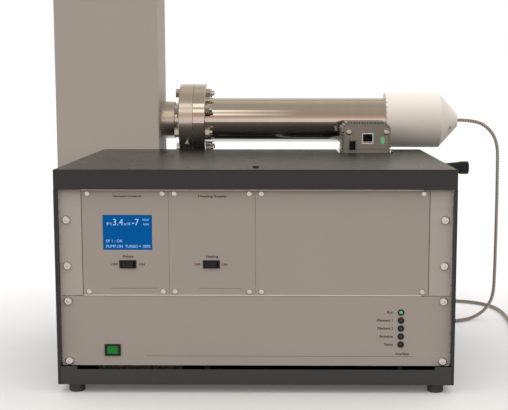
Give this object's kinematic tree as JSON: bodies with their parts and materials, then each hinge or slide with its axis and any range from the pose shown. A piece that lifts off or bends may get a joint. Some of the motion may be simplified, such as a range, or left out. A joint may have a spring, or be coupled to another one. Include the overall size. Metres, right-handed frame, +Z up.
{
  "type": "mass spectrometer",
  "caption": "Benchtop quadrupole gas analyser: rack-style electronics case with display, rear vacuum tube on a turbopump, radio-frequency head and armoured inlet line.",
  "frame": {"origin": "bench surface under the middle of the rigid instrument's bounding box, the free inlet line left out", "axes": "+X to the right seen from the front, +Y to the rear, +Z up"},
  "size_m": [0.7999, 0.5241, 0.5601],
  "materials": {
    "dark_case_paint": "satin powder coat",
    "grey_panel_paint": "satin paint, warm grey",
    "head_paint": "satin paint, warm grey",
    "bare_aluminium": "brushed",
    "zinc_steel": "zinc plated",
    "vacuum_steel": "turned and brushed stainless steel",
    "rod_steel": "polished",
    "copper": "soft copper",
    "cap_plastic": "white, slightly glossy",
    "black_plastic": "fine texture",
    "blackened_steel": "black oxide",
    "rubber": "matte",
    "display_blue": "lit liquid crystal display",
    "rocker_green": "translucent, lit",
    "lamp_lit_green": "lit lamp",
    "lamp_green": "unlit lamp",
    "lamp_red": "unlit lamp",
    "circuit_board": "solder mask",
    "cast_pump": "painted casting",
    "pump_aluminium": "machined",
    "drive_plastic": "grey anodised extrusion",
    "hose": "thick grey hose",
    "brass": "turned",
    "ceramic": "machined alumina",
    "conduit_steel": "interlocked steel hose"
  },
  "bodies": {
    "chassis": {"base_tray": "dark_case_paint", "side_panel_left": "dark_case_paint", "side_panel_right": "dark_case_paint", "top_cover": "dark_case_paint", "rear_panel": "dark_case_paint", "feet": "rubber", "rack_frame": "zinc_steel", "subrack": "grey_panel_paint", "vacuum_module_panel": "grey_panel_paint", "supply_module_panel": "grey_panel_paint", "blank_module_panel": "grey_panel_paint", "lower_panel": "grey_panel_paint", "display": "display_blue", "switch_bodies": "black_plastic", "lamp_holders": "black_plastic", "lit_lamps": "lamp_lit_green", "status_lamps": "lamp_green", "fault_lamp": "lamp_red", "panel_screws": "zinc_steel", "module_screws": "zinc_steel", "circuit_boards": "circuit_board", "power_supply": "zinc_steel", "backing_pump": "cast_pump", "exhaust_fitting": "brass", "pump_hoses": "hose", "mains_inlet": "black_plastic", "mains_pins": "brass", "fan_frame": "black_plastic", "valve_body": "brass", "drive_bracket": "zinc_steel", "drive_housing": "drive_plastic", "drive_cover": "drive_plastic", "drive_sockets": "black_plastic", "cover_screws": "blackened_steel", "vacuum_housing": "vacuum_steel", "probe_flange": "vacuum_steel", "copper_gaskets": "copper", "flange_bolts": "zinc_steel", "turbo_housing": "pump_aluminium", "pump_shelf": "dark_case_paint", "detector": "vacuum_steel", "rod_holders": "ceramic", "quadrupole_rods": "rod_steel", "ion_source": "vacuum_steel", "head_collar": "bare_aluminium", "head_shell": "head_paint", "head_back": "head_paint", "head_board": "circuit_board", "cap_ring": "cap_plastic", "inlet_cap": "cap_plastic", "inlet_fitting": "vacuum_steel", "conduit": "conduit_steel", "conduit_coil": "conduit_steel", "conduit_fitting": "vacuum_steel"},
    "power_rocker_body": {"power_rocker": "rocker_green"},
    "pump_rocker_body": {"pump_rocker": "black_plastic"},
    "heater_rocker_body": {"heater_rocker": "black_plastic"},
    "valve_knob_body": {"valve_knob": "black_plastic"},
    "fan_rotor_body": {"fan_rotor": "black_plastic"},
    "turbo_rotor_body": {"turbo_rotor": "bare_aluminium"}
  },
  "joints": [
    {"name": "power_switch", "type": "hinge", "parent": "chassis", "child": "power_rocker_body", "pos_m": [-0.17333, -0.2186, 0.0537], "axis": [0, 0, 1], "range_deg": [0, 18]},
    {"name": "pump_switch", "type": "hinge", "parent": "chassis", "child": "pump_rocker_body", "pos_m": [-0.15252, -0.2186, 0.1623], "axis": [0, 0, 1], "range_deg": [0, 18]},
    {"name": "heater_switch", "type": "hinge", "parent": "chassis", "child": "heater_rocker_body", "pos_m": [-0.04942, -0.2186, 0.1623], "axis": [0, 0, 1], "range_deg": [0, 18]},
    {"name": "valve_turn", "type": "hinge", "parent": "chassis", "child": "valve_knob_body", "pos_m": [0.25143, -0.0275, 0.265], "axis": [1, 0, 0], "range_deg": [0, 720]},
    {"name": "fan_spin", "type": "hinge", "parent": "chassis", "child": "fan_rotor_body", "pos_m": [-0.17492, 0.1202, 0.178], "axis": [0, 1, 0], "continuous": true},
    {"name": "turbo_spin", "type": "hinge", "parent": "chassis", "child": "turbo_rotor_body", "pos_m": [0.16157, 0.1745, 0.2], "axis": [0, 0, 1], "continuous": true}
  ]
}
